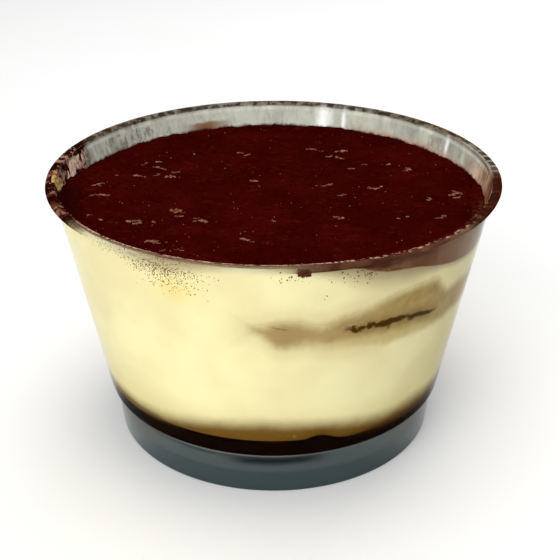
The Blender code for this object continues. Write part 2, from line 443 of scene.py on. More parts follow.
CREAM = linear(222, 210, 160)
CREAM_PALE = linear(230, 221, 171)
CREAM_DEEP_AND_SHADE = linear(190, 173, 110)
CREAM_DUST_AND_SHADE = linear(150, 134, 104)
CREAM_DUST_AND_SHADE_PALE = linear(190, 186, 158)
CREAM_STAIN = linear(226, 200, 118)
BISCUIT = linear(168, 144, 94)
BISCUIT_DARK = linear(148, 122, 58)
BISCUIT_PALE = linear(206, 190, 130)
BISCUIT_ROSY = linear(154, 129, 86)
CRACK = linear(64, 40, 4)
CRACK_HALO = linear(116, 88, 42)
SPONGE = linear(104, 78, 34)
SPONGE_WET = linear(98, 68, 20)
COFFEE = linear(12, 4, 2)
COFFEE_LIGHT = linear(26, 11, 5)
COFFEE_STAIN = linear(102, 81, 46)
COFFEE_STAIN_BROWN = linear(68, 42, 18)
COCOA = linear(57, 5, 3)
COCOA_DARK = linear(46, 3, 2)
COCOA_LIGHT = linear(100, 32, 22)
COCOA_SHADE = linear(30, 5, 5)
COCOA_DRY = linear(56, 17, 10)
COCOA_CAKED = linear(92, 48, 32)
VEIL = linear(100, 62, 38)
VEIL_LIGHT = linear(118, 80, 54)
VEIL_GREY = linear(132, 104, 74)
VEIL_LIP = linear(104, 68, 48)
VEIL_LIP_GREY = linear(136, 112, 90)
VEIL_PAINTED_SHEEN = linear(194, 206, 178)
TAN_SMEAR = linear(200, 168, 110)
TAN_DARK = linear(126, 90, 42)
PINK_SMEAR = linear(170, 130, 114)
PINK_PALE = linear(212, 186, 168)
PINK_LINE_AND_HIGHLIGHT = linear(208, 166, 146)
FAN_BROWN = linear(112, 74, 48)
FAN_RED = linear(134, 62, 36)
FAN_TAN = linear(172, 142, 118)
LIP_DARK = linear(52, 19, 9)
LIP_OLIVE = linear(50, 34, 19)
EDGE_HAZE = linear(140, 116, 88)
LUMP = linear(82, 38, 27)
FLECK = linear(140, 98, 78)
PLASTIC_CLEAR = linear(250, 252, 251)
FOOT_TINT_AND_SHADE = linear(126, 138, 140)
FOOT_TINT_AND_SHADE_SIDE = linear(104, 111, 89)
FOOT_TINT_AND_SHADE_LOW = linear(104, 122, 123)
FOOT_PAINTED_SHADE = linear(14, 34, 40)
FOOT_PAINTED_HIGHLIGHT = linear(128, 126, 116)
CORNER_SHADE = linear(64, 54, 38)
FILM_DIRT = linear(100, 92, 76)
FILM_GREY = linear(148, 144, 130)
FILM_PALE = linear(184, 184, 170)
FILM_PAINTED_LIGHT = linear(222, 220, 206)
SPECK_OLIVE = linear(140, 116, 66)
FLOOR = linear(243, 243, 242)
FLOOR_PALE = linear(246, 246, 246)


def clear_plastic(name, bend):
    """Clear moulded plastic; bend is its refractive index."""
    f = Finish(name, IOR=bend, Transmission_Weight=1.0)
    f.set("Roughness", 0.03 + 0.03 * f.noise(6.0))
    return f


def wall_plastic():
    f = clear_plastic("clear_wall", 1.03)
    f.set("Base Color", PLASTIC_CLEAR)
    f.let_light_through()
    return f.material


def lip_plastic():
    f = clear_plastic("clear_lip", 1.03)
    f.set("Base Color", PLASTIC_CLEAR)
    f.let_light_through()
    return f.material


def foot_plastic():
    """The hollow foot: plastic tinted in two bands, partly its own tint and partly painted shade for the
    shadowed floor seen through it, with a painted highlight where the floor meets it and painted shade at the
    corners and under that highlight.
    """
    f = clear_plastic("foot_with_painted_shade", 1.12)
    wander = f.noise(9.0, 2.0, stretch=(1.0, 1.0, 0.4)) - 0.5
    upper = smoothstep(f.height, 4.9, 5.3)
    middle = 1.0 - smoothstep(abs(f.azimuth - 0.5), 8.0, 20.0)
    # painted shade: a dark patch at the front, for the shadowed floor seen through the foot
    painted_shade_patch = bump(f.height + 1.2 * wander, 8.3, 1.9) * middle
    side = smoothstep(abs(f.azimuth), 36.0, 58.0)
    # the tint is partly the plastic's and partly painted shade of the floor under the cup, seen through the foot
    tint = f.mix(upper, FOOT_TINT_AND_SHADE_LOW, f.mix(side, FOOT_TINT_AND_SHADE, FOOT_TINT_AND_SHADE_SIDE))
    tint = f.mix(painted_shade_patch, tint, FOOT_PAINTED_SHADE)
    shade = smoothstep(f.height, 8.7, 9.2) * side
    tint = f.mix(shade, tint, CORNER_SHADE)
    # painted shade: a dark band just under the painted highlight on the foot
    under = bump(f.height, 8.7, 0.7) * smoothstep(abs(f.azimuth + 40.0), 34.0, 14.0)
    tint = f.mix(0.6 * under, tint, FOOT_PAINTED_SHADE)
    # painted highlight: a pale line along the top of the foot, where the floor's rounded corner catches the
    # light
    edge = bump(f.height, 9.35, 0.3) * bump(f.azimuth, -18.0, 62.0).math("POWER", 0.4)
    edge = edge * (0.9 + 0.9 * wander)
    f.set("Base Color", f.mix(edge, tint, FOOT_PAINTED_HIGHLIGHT))
    f.set("Transmission Weight", 0.7 - 0.6 * highest(edge, shade))
    f.let_light_through(tint)
    return f.material


def coffee_stain(f):
    """Coffee creeping into the sponge: browner at the right."""
    brown = smoothstep(f.azimuth, -10.0, 20.0) * (1.0 - smoothstep(f.azimuth, 110.0, 165.0))
    return f.mix(brown, COFFEE_STAIN, COFFEE_STAIN_BROWN)


def food_side(name):
    """The food as it shows against the wall: cream with the soft stains of what lies behind it.

    Every layer uses it, so a stain runs on smoothly from one piece to the next.
    """
    f = Finish(name, Roughness=0.6, Specular_IOR_Level=0.0)
    wander = f.noise(5.0, 3.0, 0.55) - 0.5
    fine = f.noise(0.9, 4.0, 0.6, offset=3.0) - 0.5
    color = f.mix(smoothstep(f.noise(14.0, 2.0), 0.35, 0.65), CREAM, CREAM_PALE)
    # darker cream towards the sponge, and painted shade on the right side, away from the key light
    low = 1.0 - smoothstep(f.height, SPONGE_TOP, 24.0)
    right = smoothstep(f.azimuth, 40.0, 86.0) * (1.0 - smoothstep(f.azimuth, 110.0, 150.0))
    color = f.mix(highest(low * 0.4, right), color, CREAM_DEEP_AND_SHADE)

    # a brownish haze under the lip, deepest on the left, which is cocoa dust and painted shade from the lip, and
    # a yellow stain below it
    down = cream_topside(f.azimuth) - f.height + 1.2 * wander
    depth = 1.8 + 2.6 * bump(f.azimuth, -28.0, 20.0) + 5.0 * bump(f.azimuth, 26.0, 24.0)
    left = smoothstep(f.azimuth, -26.0, -44.0) * smoothstep(f.azimuth, -165.0, -120.0)
    thin = highest(left, bump(f.azimuth, -7.0, 11.0))
    # painted shade of the lip, greyer on the left, mixed with the brown of cocoa dust
    haze = f.mix(thin, CREAM_DUST_AND_SHADE, CREAM_DUST_AND_SHADE_PALE)
    color = f.mix(1.0 - smoothstep(down, -0.4, depth), color, haze)
    stain = bump(f.azimuth, -24.0, 9.0) * bump(f.height + 3.0 * wander, 50.0, 5.0)
    color = f.mix(stain * 0.6, color, CREAM_STAIN)

    # the ladyfinger, blurred by the cream that covers its edges
    bottom, top = finger_span(f.azimuth)
    bottom = bottom + 0.6 * bump(f.azimuth, 27.0, 12.0)
    depth = lowest(f.height - bottom, top - 1.0 * bump(f.azimuth, 48.5, 7.0) - f.height)
    ends = lowest(f.azimuth - FINGER_FROM, FINGER_TO + 4.0 - f.azimuth) * 0.6
    depth = lowest(depth, ends) + 2.6 * wander + 0.8 * fine
    biscuit = smoothstep(depth, -1.4, 2.0)
    brown = smoothstep(f.noise(4.0, 4.0, 0.6, offset=5.0), 0.35, 0.7)
    brown = highest(brown, highest(bump(f.azimuth, 4.0, 12.0), smoothstep(f.azimuth, 50.0, 64.0)))
    tone = f.mix(brown, BISCUIT, f.mix(smoothstep(f.azimuth, 20.0, 40.0), BISCUIT_ROSY, BISCUIT_DARK))
    around = 0.25 * smoothstep(depth, -4.5, -0.5) * (1.0 - smoothstep(f.azimuth, 22.0, 34.0))
    color = f.mix(around, color, BISCUIT)
    color = f.mix(biscuit, color, tone)

    # the dark crack along it, with crumbs broken off its edges
    wobble = 2.2 * (f.noise(2.2, 4.0, 0.75, offset=9.0) - 0.5)
    spur = bump(f.azimuth, 29.5, 4.0)
    line = 41.3 - 2.3 * smoothstep(f.azimuth, 28.0, 52.0) - 0.5 * spur + wobble
    ragged = f.noise(1.1, 3.0, 0.65, offset=13.0) - 0.5
    along = smoothstep(f.azimuth, 14.0, 22.0) * (1.0 - smoothstep(f.azimuth, 43.0, 50.0))
    thinning = smoothstep(f.azimuth, 33.0, 42.0)
    below = smoothstep(line - f.height + 2.0 * wander, 0.8, 3.6) * along
    color = f.mix(0.55 * below * biscuit, color, BISCUIT_PALE)
    half = (0.5 - 0.1 * thinning) * along + 0.5 * spur + (3.2 - 2.2 * thinning) * ragged
    color = f.mix(0.55 * along * bump(f.height, line, 3.2) * biscuit, color, CRACK_HALO)
    crack = 1.0 - smoothstep(abs(f.height - line) - half, -0.2, 0.35)
    crack = crack * smoothstep(f.azimuth, 16.0, 20.0) * (1.0 - smoothstep(f.azimuth, 46.0, 50.0))
    faint = 1.0 - smoothstep(abs(f.height - 43.0 + 0.2 * (f.azimuth - 1.0)) - 1.4 * ragged, 0.0, 0.3)
    faint = 0.5 * faint * bump(f.azimuth, 1.5, 4.5)
    color = f.mix(highest(crack, faint), color, CRACK)

    # the wet sponge at the base, and the coffee that creeps up from below
    over_coffee = f.height - coffee_topside(f.azimuth)
    blotch = bump(f.azimuth, 12.5, 5.0) * bump(f.height, 16.4, 2.0)
    damp = f.mix(smoothstep(over_coffee + wander, 0.0, 3.4) - 0.9 * blotch, SPONGE_WET, SPONGE)
    wet = 1.0 - smoothstep(f.height - sponge_topside(f.azimuth) + 1.8 * wander, -2.3, 2.7)
    color = f.mix(wet, color, damp)
    creep = 1.0 - smoothstep(over_coffee + 0.8 * wander, -0.1, 1.3)
    side = smoothstep(abs(f.azimuth + 3.0), 18.0, 40.0)
    color = f.mix(creep * (0.25 + 0.75 * side), color, coffee_stain(f))

    # cocoa between the cream and the wall: a low fringe under the veil, a lump and thin runs
    fringe = 0.9 * bump(f.azimuth, 26.0, 10.0)
    fringe = 1.0 - smoothstep(cream_topside(f.azimuth) - f.height + fine, fringe - 0.2, fringe + 0.2)
    color = f.mix(fringe * smoothstep(f.azimuth, 14.0, 18.0), color, VEIL)
    color = f.mix(cocoa_lump(f), color, LUMP)
    runs = f.noise(0.7, 3.0, 0.6, stretch=(1.0, 1.0, 0.22), offset=19.0)
    runs = smoothstep(runs, 0.6, 0.68) * bump(f.azimuth, 23.0, 7.0) * bump(f.height, 53.4, 2.6)
    color = f.mix(runs, color, SPECK_OLIVE)
    f.set("Base Color", color)
    f.bump(f.noise(0.7, 4.0, 0.6, offset=2.0), 0.04)
    return f.material


def soaked_sponge():
    f = Finish("soaked_sponge", Roughness=0.7, Specular_IOR_Level=0.0)
    color = f.mix(smoothstep(f.noise(1.6, 4.0), 0.5, 0.8), COFFEE, COFFEE_LIGHT)
    over = f.height - coffee_topside(f.azimuth)
    pale = smoothstep(over, -1.2, -0.1) * smoothstep(abs(f.azimuth + 3.0), 24.0, 52.0)
    f.set("Base Color", f.mix(pale, color, coffee_stain(f)))
    return f.material


def veil_around(azimuth):
    """How brown the dusty wall is at the front right."""
    return smoothstep(azimuth, 1.0, 13.0) * (1.0 - smoothstep(azimuth, 62.0, 80.0))


def cocoa_lump(f):
    """A lump of cocoa that hangs under the lip at the front."""
    rough = f.noise(0.9, 4.0, 0.65, offset=31.0) - 0.5
    return smoothstep(2.2 * bump(f.azimuth, 6.8, 2.7) * bump(f.height, 55.6, 2.0) + 2.6 * rough, 0.6, 0.85)


def left_front(azimuth):
    """Where the cream reaches the lip, left of the veil."""
    return smoothstep(azimuth, -62.0, -54.0) * (1.0 - smoothstep(azimuth, 1.0, 13.0))


def veil_color(f):
    """The dusty wall's brown, which gives way at the right to a pale greenish painted reflection, in the look of
    clear plastic.
    """
    blotches = f.noise(4.5, 4.0, 0.6, stretch=(1.0, 1.0, 0.5), offset=2.0)
    brown = f.mix(smoothstep(blotches, 0.4, 0.6), VEIL, VEIL_LIGHT)
    brown = f.mix(smoothstep(f.azimuth, 38.0, 62.0), brown, VEIL_GREY)
    # painted reflection: the grazing sheen of the clear wall at the right
    return f.mix(smoothstep(f.azimuth, 63.0, 74.0), brown, VEIL_PAINTED_SHEEN)


def caked_cocoa(f):
    """Cocoa caked on the wall and the lip, with cream showing where it has been rubbed."""
    patches = f.noise(3.4, 3.0, 0.6, offset=17.0) - 0.5
    mottle = f.noise(1.5, 4.0, 0.65, stretch=(1.0, 1.0, 0.7), offset=4.0)
    fine = f.noise(0.6, 3.0, 0.6, offset=25.0)
    streaks = f.noise(1.5, 4.0, 0.65, stretch=(1.0, 1.0, 0.25), offset=3.0)
    crumbs = f.noise(1.3, 4.0, 0.65, offset=15.0)
    color = f.mix(smoothstep(mottle + 0.5 * patches, 0.47, 0.56), COCOA_SHADE, COCOA_DRY)
    color = f.mix(smoothstep(mottle + 0.5 * patches, 0.54, 0.64), color, COCOA_CAKED)
    back = smoothstep(f.azimuth, -86.0, -104.0)
    rubbed = smoothstep(crumbs + patches + 0.05 * back, 0.56, 0.62)
    color = f.mix((0.45 + 0.4 * back) * rubbed, color, PINK_SMEAR)
    tan = bump(f.azimuth - 0.9 * (f.height - 53.0), -89.0, 8.0)
    tan = tan * (1.0 - smoothstep(f.radius, LIP_INNER + 0.4, LIP_INNER + 1.1))
    tan_color = f.mix(smoothstep(fine, 0.44, 0.6), TAN_DARK, TAN_SMEAR)
    color = f.mix(smoothstep(tan + 1.6 * (mottle - 0.5), 0.5, 0.7), color, tan_color)
    low = bump(f.azimuth + 1.6 * (f.height - 53.0), -101.0, 11.0)
    low = low * (1.0 - smoothstep(f.height, 55.4, 56.6))
    pink = f.mix(smoothstep(fine + 0.6 * patches, 0.38, 0.6), FAN_TAN, PINK_PALE)
    return f.mix(smoothstep(low + 3.6 * (streaks - 0.5), 0.55, 0.8), color, pink)


def cocoa_powder(name):
    f = Finish(name, Roughness=1.0, Specular_IOR_Level=0.0)
    color = f.mix(smoothstep(f.noise(9.0, 4.0, 0.6), 0.4, 0.65), COCOA_DARK, COCOA)
    streak = smoothstep(f.noise(1.0, 3.0, 0.6, stretch=(0.4, 1.0, 1.0), offset=8.0), 0.56, 0.75)
    grain = smoothstep(f.noise(0.45, 3.0, 0.7, offset=4.0), 0.6, 0.8)
    color = f.mix(grain * 0.3 + streak * 0.3, color, COCOA_LIGHT)
    inward = f.radius - wall_inside(f.height)
    shade = smoothstep(inward, -5.0, -0.6) * bump(f.azimuth, -84.0, 26.0)
    color = f.mix(0.8 * shade, color, COCOA_SHADE)
    rubbed = smoothstep(inward, -3.0, -0.4) * bump(f.azimuth, 77.0, 14.0)
    rubbed = rubbed * smoothstep(f.noise(1.0, 3.0, 0.65, offset=33.0), 0.42, 0.56)
    color = f.mix(0.8 * rubbed, color, COCOA_CAKED)
    at_wall = smoothstep(inward, -0.2, 0.1)
    color = f.mix(at_wall * left_front(f.azimuth), color, EDGE_HAZE)
    color = f.mix(at_wall * veil_around(f.azimuth), color, veil_color(f))
    f.set("Base Color", color)
    f.bump(f.noise(0.35, 3.0, 0.7, offset=6.0), 0.08)
    return f.material


def fleck_crumb():
    f = Finish("fleck_crumb", Roughness=0.9, Specular_IOR_Level=0.0)
    f.set("Base Color", f.mix(smoothstep(f.noise(0.9, 3.0), 0.36, 0.64), COCOA_CAKED, FLECK))
    return f.material


def dry_specks():
    f = Finish("dry_specks", Roughness=0.9, Specular_IOR_Level=0.0)
    f.set("Base Color", f.mix(smoothstep(f.noise(1.5, 3.0), 0.4, 0.6), COCOA_CAKED, SPECK_OLIVE))
    return f.material


def wall_film():
    """The greasy haze and the cocoa dust on the bare wall above the food and on the lip."""
    f = Finish("wall_film", Roughness=1.0, Specular_IOR_Level=0.0)
    away = abs(f.azimuth)
    above = f.height - cocoa_topside(f.azimuth)
    streaks = f.noise(1.3, 4.0, 0.6, stretch=(1.0, 1.0, 0.16))
    blotches = f.noise(4.5, 4.0, 0.6, stretch=(1.0, 1.0, 0.5), offset=2.0)
    ragged = f.noise(1.6, 4.0, 0.65, stretch=(1.0, 1.0, 0.3), offset=7.0) - 0.5
    crumbs = f.noise(0.9, 3.0, 0.6, offset=15.0)
    caked = caked_cocoa(f)
    veil = veil_color(f)

    # grey haze with pale streaks on the inner wall, and painted reflections of a window as white streaks
    clean = smoothstep(away, 110.0, 150.0)
    # paler towards the back, and painted light at the back left near azimuth -118, where less light falls
    bright = 0.1 * (clean - 0.5) + 0.07 * bump(f.azimuth, -118.0, 14.0)
    pale = smoothstep(blotches * 0.65 + streaks * 0.35 + bright, 0.4, 0.6)
    color = f.mix(pale, FILM_GREY, FILM_PALE)
    alpha = 0.66 + 0.3 * highest(smoothstep(blotches, 0.4, 0.6), bump(f.azimuth, -118.0, 16.0))
    dirt = smoothstep(f.noise(1.1, 3.0, 0.65, stretch=(1.0, 1.0, 0.45), offset=35.0), 0.49, 0.58)
    dirt = dirt * highest(bump(f.azimuth, -132.0, 26.0), 0.6 * bump(f.azimuth, 124.0, 24.0))
    color = f.mix(0.8 * dirt, color, FILM_DIRT)
    # painted reflections: white vertical streaks of a bright window on the back wall
    for azimuth, half_width in ((164.0, 4.0), (157.5, 1.2), (118.5, 1.2)):
        shine = bump(f.azimuth, azimuth, half_width)
        color = f.mix(shine * 0.8, color, (1.0, 1.0, 1.0, 1.0))

    # a pinkish fringe above the cocoa at the back right, a brown smear at the back left
    fringe = (1.0 - smoothstep(above + 3.0 * ragged, 0.4, 2.2)) * smoothstep(f.azimuth, 100.0, 125.0)
    color = f.mix(fringe * (1.0 - smoothstep(f.azimuth, 140.0, 165.0)), color, FAN_TAN)
    smear = bump(f.azimuth + 6.0 * ragged, -158.5, 9.0).math("POWER", 0.5)
    smear = smear * (1.0 - smoothstep(above + 1.5 * ragged, 1.5, 2.4))
    color = f.mix(smear, color, VEIL_LIGHT)
    alpha = highest(alpha, smear)

    # the fan of brown and tan streaks at the right end
    fan = smoothstep(f.azimuth + 8.0 * ragged, 73.0, 78.0)
    fan = fan * (1.0 - smoothstep(f.azimuth + 16.0 * ragged + 2.6 * above, 105.0, 117.0))
    broad = f.noise(2.0, 4.0, 0.65, stretch=(1.0, 1.0, 0.3), offset=27.0)
    fan_color = f.mix(smoothstep(broad, 0.36, 0.62), FAN_BROWN, FAN_TAN)
    fan_color = f.mix(0.7 * bump(f.azimuth, 101.0, 6.0), fan_color, PINK_PALE)
    fan_color = f.mix(0.5 * smoothstep(f.azimuth, 106.0, 112.0), fan_color, FAN_TAN)
    fan_color = f.mix(0.8 * bump(f.azimuth, 87.0, 6.0) * (1.0 - smoothstep(above, 1.2, 2.6)), fan_color, FAN_RED)
    shadow = (1.0 - smoothstep(f.azimuth + 12.0 * ragged, 81.0, 88.0)) * 0.8
    fan_color = f.mix(shadow, fan_color, COCOA_CAKED)
    color = f.mix(fan, color, fan_color)
    alpha = highest(alpha, fan)

    # cocoa caked on the left end
    crust = smoothstep(f.azimuth + 12.0 * ragged, -115.0, -109.0)
    crust = crust * (1.0 - smoothstep(f.azimuth, -62.0, -54.0))
    color = f.mix(crust, color, caked)
    alpha = highest(alpha, crust)

    # a haze over the front left and a brown veil over the front right
    left = left_front(f.azimuth)
    color = f.mix(left, color, EDGE_HAZE)
    alpha = highest(alpha, left * 0.97)
    veiled = veil_around(f.azimuth)
    color = f.mix(veiled, color, veil)
    color = f.mix(cocoa_lump(f), color, LUMP)
    alpha = highest(alpha, veiled * 0.97)

    # a ragged edge of cocoa along the topping
    edge = (1.0 - smoothstep(above - 2.0 * ragged, 0.0, 0.9)) * (1.0 - veiled)
    color = f.mix(edge, color, f.mix(smoothstep(above, 0.3, 1.1), COCOA_DARK, COCOA_DRY))
    alpha = highest(alpha, edge)

    # the lip at the front: cocoa inside a broken pale line, which is pink specks and a painted highlight along
    # the lip's edge, and a haze outside it
    outward = f.radius - LIP_INNER
    top = smoothstep(f.height, 56.5, 56.8)
    line_at = 0.12 + 0.95 * smoothstep(f.azimuth, 6.0, 26.0)
    drift = f.noise(3.2, 3.0, 0.6, offset=23.0) - 0.5
    past = outward - line_at + 0.9 * (crumbs - 0.5) + 0.9 * drift
    breaks = f.noise(1.2, 4.0, 0.7, offset=21.0)
    # the pale line: a painted highlight along the lip's edge, broken by pink and cocoa specks
    line = (1.0 - smoothstep(abs(past), 0.25, 0.6)) * top
    right = smoothstep(f.azimuth, 6.0, 22.0)
    line_and_highlight_tone = f.mix(right, PINK_LINE_AND_HIGHLIGHT, PINK_SMEAR)
    line_and_highlight_tone = f.mix(smoothstep(breaks - 0.05 * right, 0.44, 0.5), COCOA_DRY, line_and_highlight_tone)
    inside = (1.0 - smoothstep(past, -0.2, 0.0)) * top
    veil_lip = f.mix(smoothstep(f.azimuth, 40.0, 60.0), VEIL_LIP, VEIL_LIP_GREY)
    shade = 0.4 * smoothstep(blotches, 0.56, 0.44) + 0.35 * (1.0 - smoothstep(f.azimuth, 22.0, 36.0))
    veil_lip = f.mix(shade, veil_lip, LIP_DARK)
    lip_color = f.mix(veiled, f.mix(smoothstep(outward, 1.0, 0.4), EDGE_HAZE, COCOA_CAKED), veil_lip)
    lip_color = f.mix(line, lip_color, line_and_highlight_tone)
    lip_color = f.mix(inside, lip_color, COCOA)
    lip_alpha = f.blend(veiled, 0.8 * top * (1.0 - smoothstep(outward, 0.5, 1.5)), 0.95)
    lip_alpha = highest(lip_alpha, highest(line, inside))

    lip_color = f.mix(0.8 * cocoa_lump(f), lip_color, LUMP)

    # caked at both ends
    ends = 1.0 - smoothstep(f.azimuth + 8.0 * ragged, -58.0, -48.0)
    ends = highest(ends, smoothstep(f.azimuth + 8.0 * ragged, 48.0, 60.0))
    worn = smoothstep(f.azimuth, 82.0, 92.0)
    rubbed = f.mix(pale * worn, f.mix(worn, COCOA_DRY, FILM_GREY), PINK_PALE)
    side_color = f.mix(smoothstep(f.azimuth, 72.0, 80.0), caked, rubbed)
    back = highest(smoothstep(f.azimuth, 108.0, 118.0), 1.0 - smoothstep(f.azimuth, -122.0, -112.0))
    side_color = f.mix(back, side_color, f.mix(pale, VEIL_GREY, FILM_GREY))
    lip_color = f.mix(ends, lip_color, side_color)
    lip_alpha = highest(lip_alpha, ends)
    on_lip = smoothstep(outward, -0.1, 0.05)
    color = f.mix(on_lip, color, lip_color)
    alpha = f.blend(on_lip, alpha, lip_alpha)

    # painted light: the concave curve between wall and lip at the right is lightened against its own shading
    fillet_painted_light = bump(f.height, 56.0, 0.9) * smoothstep(away, 86.0, 100.0) * (1.0 - crust)
    color = f.mix(0.6 * fillet_painted_light, color, FILM_PAINTED_LIGHT)

    # dashes of dark cocoa round the lip, but for the front
    right = smoothstep(f.azimuth, 50.0, 60.0) * (1.0 - smoothstep(f.azimuth, 112.0, 132.0))
    round_back = highest(1.0 - smoothstep(f.azimuth, -116.0, -108.0), smoothstep(f.azimuth, 50.0, 60.0))
    outer = smoothstep(outward + 0.8 * ragged, 0.1, 0.4)
    reach = f.blend(right, smoothstep(f.height + 0.6 * ragged, 56.25, 56.85), outer)
    beat = (f.azimuth * 1.7 + 5.0 * f.noise(4.0, 3.0, 0.6, offset=11.0)).math("SINE")
    gaps = smoothstep(beat, 0.3, 0.6) * smoothstep(f.azimuth, 82.0, 90.0)
    gaps = gaps * (1.0 - smoothstep(f.azimuth, 100.0, 112.0))
    soft = 0.7 * smoothstep(f.noise(1.9, 3.0, 0.6, offset=29.0), 0.42, 0.58) * smoothstep(away, 80.0, 96.0)
    soft = soft * (1.0 - 0.8 * bump(f.azimuth, 96.0, 18.0))
    dashes = 1.0 - 0.9 * highest(gaps, soft)
    rim_line = round_back * reach
    line_color = f.mix(0.7 * smoothstep(crumbs, 0.54, 0.62), LIP_DARK, COCOA_CAKED)
    line_color = f.mix(smoothstep(away, 86.0, 96.0), line_color, LIP_OLIVE)
    color = f.mix(rim_line * f.blend(dashes, 0.1, 0.97), color, line_color)
    f.set("Base Color", color)
    f.set("Alpha", highest(alpha, rim_line * dashes))
    return f.material


# ---------------------------------------------------------------- pieces


def build_cup():
    turn = azimuths(CUP_SEGMENTS)
    rings = []
    for r, z in OUTLINE[1:-1]:
        r, z = slim_lip(r, z)
        rings.append(on_circle(r, turn, z))
    low, high = OUTLINE[0][1], OUTLINE[-1][1]
    points, faces = turned_shell(rings, (0.0, 0.0, low), (0.0, 0.0, high))
    finishes = [wall_plastic(), lip_plastic(), foot_plastic()]
    piece = add_piece("clear_cup", points, faces, finishes, ["cup"])
    for face in piece.data.polygons:
        height = face.center.z / MM
        if height > LIP_BOTTOM:
            face.material_index = 1
        elif height < FOOT_TOP:
            face.material_index = 2


def build_food():
    flat = (0.0, 2.0, 9.0, 20.0, 32.0)
    floor_z = FLOOR_TOP - FLOOR_BITE
    add_food_layer(
        "coffee_soaked_base", lambda a, d: floor_z, coffee_topside, flat, 4, FOOD_SEGMENTS,
        soaked_sponge(), ["coffee_base"],
    )
    add_food_layer(
        "pale_sponge", coffee_topside, sponge_topside, flat, 6, FOOD_SEGMENTS,
        food_side("pale_sponge"), ["lower_sponge"],
    )
    near = (0.0, 0.6, 1.3, 2.0, 2.8, 3.8, 5.0, 9.0, 20.0, 32.0)
    add_food_layer(
        "mascarpone_cream", sponge_topside, cream_topside, near, 40, FOOD_SEGMENTS,
        food_side("mascarpone_cream"), ["cream"],
    )


def build_finger():
    """The ladyfinger: its outer face lies a hair outside the cream's, and the rest is inside it."""
    steps = 90
    middle = (FINGER_FROM + FINGER_TO) / 2
    sections = []
    for azimuth in np.linspace(FINGER_FROM, FINGER_TO, steps + 1):
        low, high = (float(v) for v in finger_span(azimuth))
        inner = FINGER_INNER_FACE / math.cos(math.radians(azimuth - middle))
        outline = []
        for share in np.linspace(1.0, 0.0, 9):
            z = low + (high - low) * share
            outline.append((wall_inside(z) + BITE + 0.05, z))
        half = (high - low) / 2
        rounding = min(half, 2.5)
        for angle in np.linspace(-math.pi / 2, math.pi / 2, 9):
            outline.append((inner + rounding * (1.0 - math.cos(angle)), low + half + half * math.sin(angle)))
        radius, z = np.array(outline).T
        sections.append(on_circle(radius, azimuth, z))
    count = len(sections[0])
    points = np.concatenate(sections)
    faces = []
    for s in range(steps):
        for i in range(count):
            j = (i + 1) % count
            k = s * count
            faces.append((k + i, k + j, k + count + j, k + count + i))
    faces.append(tuple(reversed(range(count))))
    faces.append(tuple(range(steps * count, (steps + 1) * count)))
    add_piece(
        "ladyfinger_biscuit", points, faces,
        [food_side("ladyfinger_biscuit")], ["ladyfinger"],
    )


def smooth_front(azimuth):
    """1 where the cream is smeared up to the lip, which leaves no room for a pile of cocoa."""
    return smoothstep(azimuth, -90.0, -70.0) * (1.0 - smoothstep(azimuth, 20.0, 40.0))


def cocoa_relief(x, y, distance):
    """Waves, soft lumps and powdery grain on the cocoa, and the ragged pile against the wall."""
    place = Vector((x, y, 0.0))
    waves = 0.22 * noise.noise(place / 17.0)
    lumps = 0.16 * noise.noise(place / 3.1 + Vector((5.0, 1.0, 0.0)))
    grain = 0.10 * noise.noise(place / 0.9 + Vector((2.0, 7.0, 0.0)))
    near = 1.0 - float(smoothstep(distance, 0.0, 3.4))
    if near == 0.0:
        return waves + lumps + grain
    azimuth = math.degrees(math.atan2(x, -y))
    caked = 0.9 * float(bump(azimuth, -99.0, 14.0)) + 0.5 * float(bump(azimuth, 86.0, 20.0))
    ragged = 0.5 + noise.noise(place / 2.4) + 0.5 * noise.noise(place / 0.8)
    bare = 1.0 - float(smooth_front(azimuth))
    return waves + lumps + grain + near * (caked + 0.45 * bare * max(ragged, 0.0))


def build_cocoa():
    near_wall = np.arange(0.0, 6.0, 0.35)
    distances = tuple(np.concatenate([near_wall, np.arange(6.0, 44.0, 0.55)]))
    add_food_layer(
        "cocoa_dusting", cream_topside, cocoa_topside, distances, 3, COCOA_SEGMENTS,
        cocoa_powder("cocoa_powder"), ["cocoa_top"], relief=cocoa_relief,
    )


def build_film():
    """A thin skin on the bare inner wall and over the lip, from just under the cocoa's edge."""
    turn = azimuths(360)
    start = np.minimum(cocoa_topside(turn) - 0.6, 55.6)
    crest = [slim_lip(r, z) for r, z in reversed(OUTLINE) if z > 55.3]
    path = []
    lift = []
    for share in np.linspace(0.0, 1.0, 8):
        z = start + (56.4 - start) * share
        path.append((wall_inside(z), z))
        lift.append(-0.14 - 0.44 * veil_around(turn) * (1.0 - smoothstep(share, 0.5, 1.0)))
    path += [(r + 0.0 * turn, z + 0.0 * turn) for r, z in crest]
    lift += [0.02 + 0.0 * turn] * len(crest)
    path = np.array(path)
    lift = np.array(lift)[:, None, :]
    along = np.gradient(path, axis=0)
    along /= np.linalg.norm(along, axis=1, keepdims=True)
    normal = np.stack([-along[:, 1], along[:, 0]], axis=1)
    skins = [path + normal * lift, (path + normal * (lift + 0.05))[::-1]]
    rings = [on_circle(r, turn, z) for skin in skins for r, z in skin]
    count = len(turn)
    points = np.concatenate(rings)
    faces = []
    for k in range(len(rings)):
        a, b = k * count, (k + 1) % len(rings) * count
        for i in range(count):
            j = (i + 1) % count
            faces.append((a + i, a + j, b + j, b + i))
    add_piece("wall_haze", points, faces, [wall_film()])


